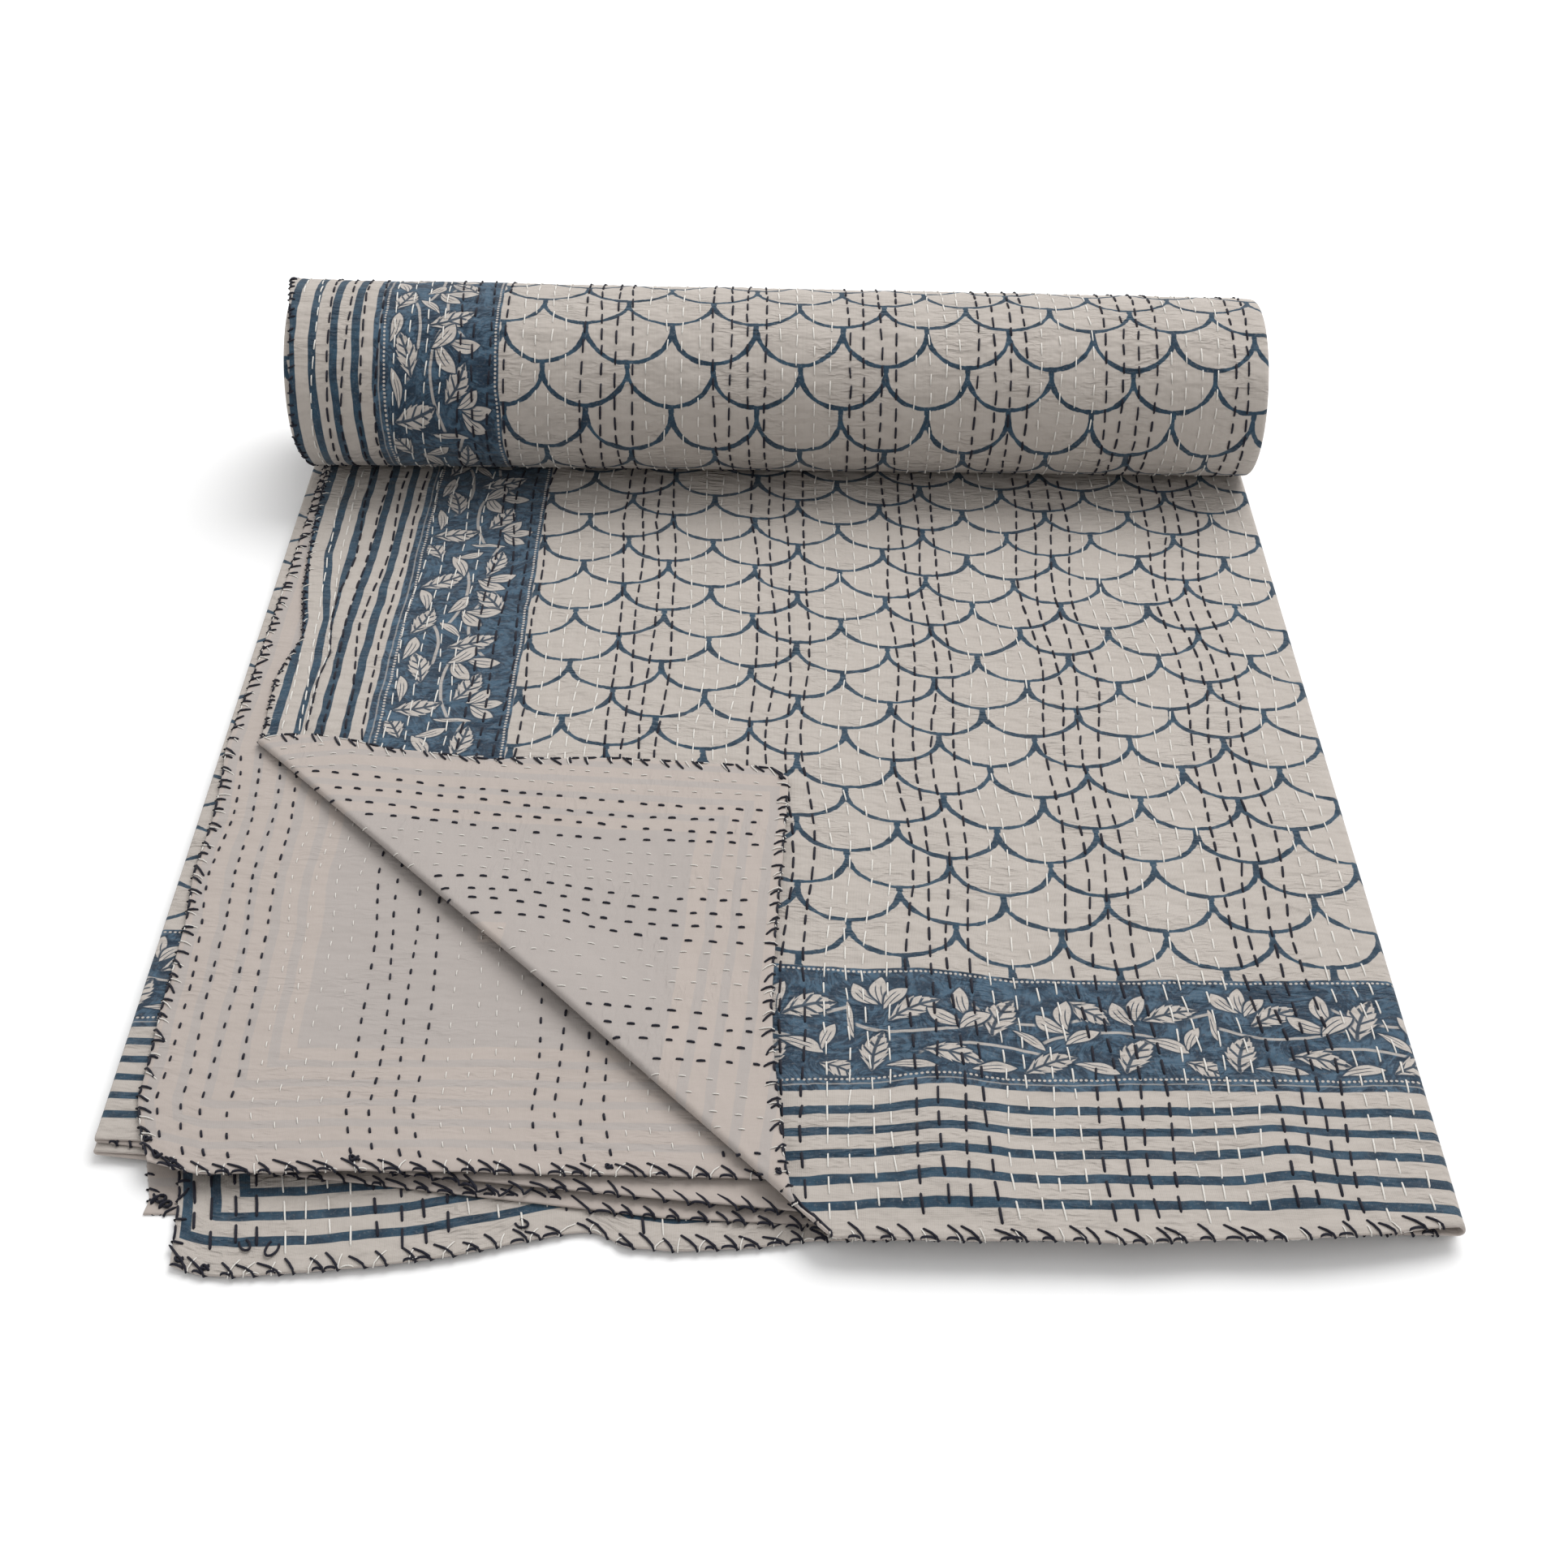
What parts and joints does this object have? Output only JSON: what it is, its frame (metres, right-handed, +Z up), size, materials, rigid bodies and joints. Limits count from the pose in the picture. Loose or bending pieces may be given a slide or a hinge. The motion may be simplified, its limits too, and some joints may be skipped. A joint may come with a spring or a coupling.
{
  "type": "folded and rolled quilted bedspread",
  "caption": "Quilted cotton bedspread folded into a long pile, rolled up from its far end, with one corner of the top layer turned back.",
  "frame": {"origin": "on the ground, at the middle of the outline seen from above", "axes": "+Z up, +X along the width from the side hems to the folded side, +Y along the length from the front hems to the roll"},
  "size_m": [0.5658, 0.6598, 0.1194],
  "materials": {
    "quilted_cotton": "matt woven cotton with a block print and hand quilting"
  },
  "bodies": {
    "root": {"bedspread": "quilted_cotton"}
  },
  "joints": []
}
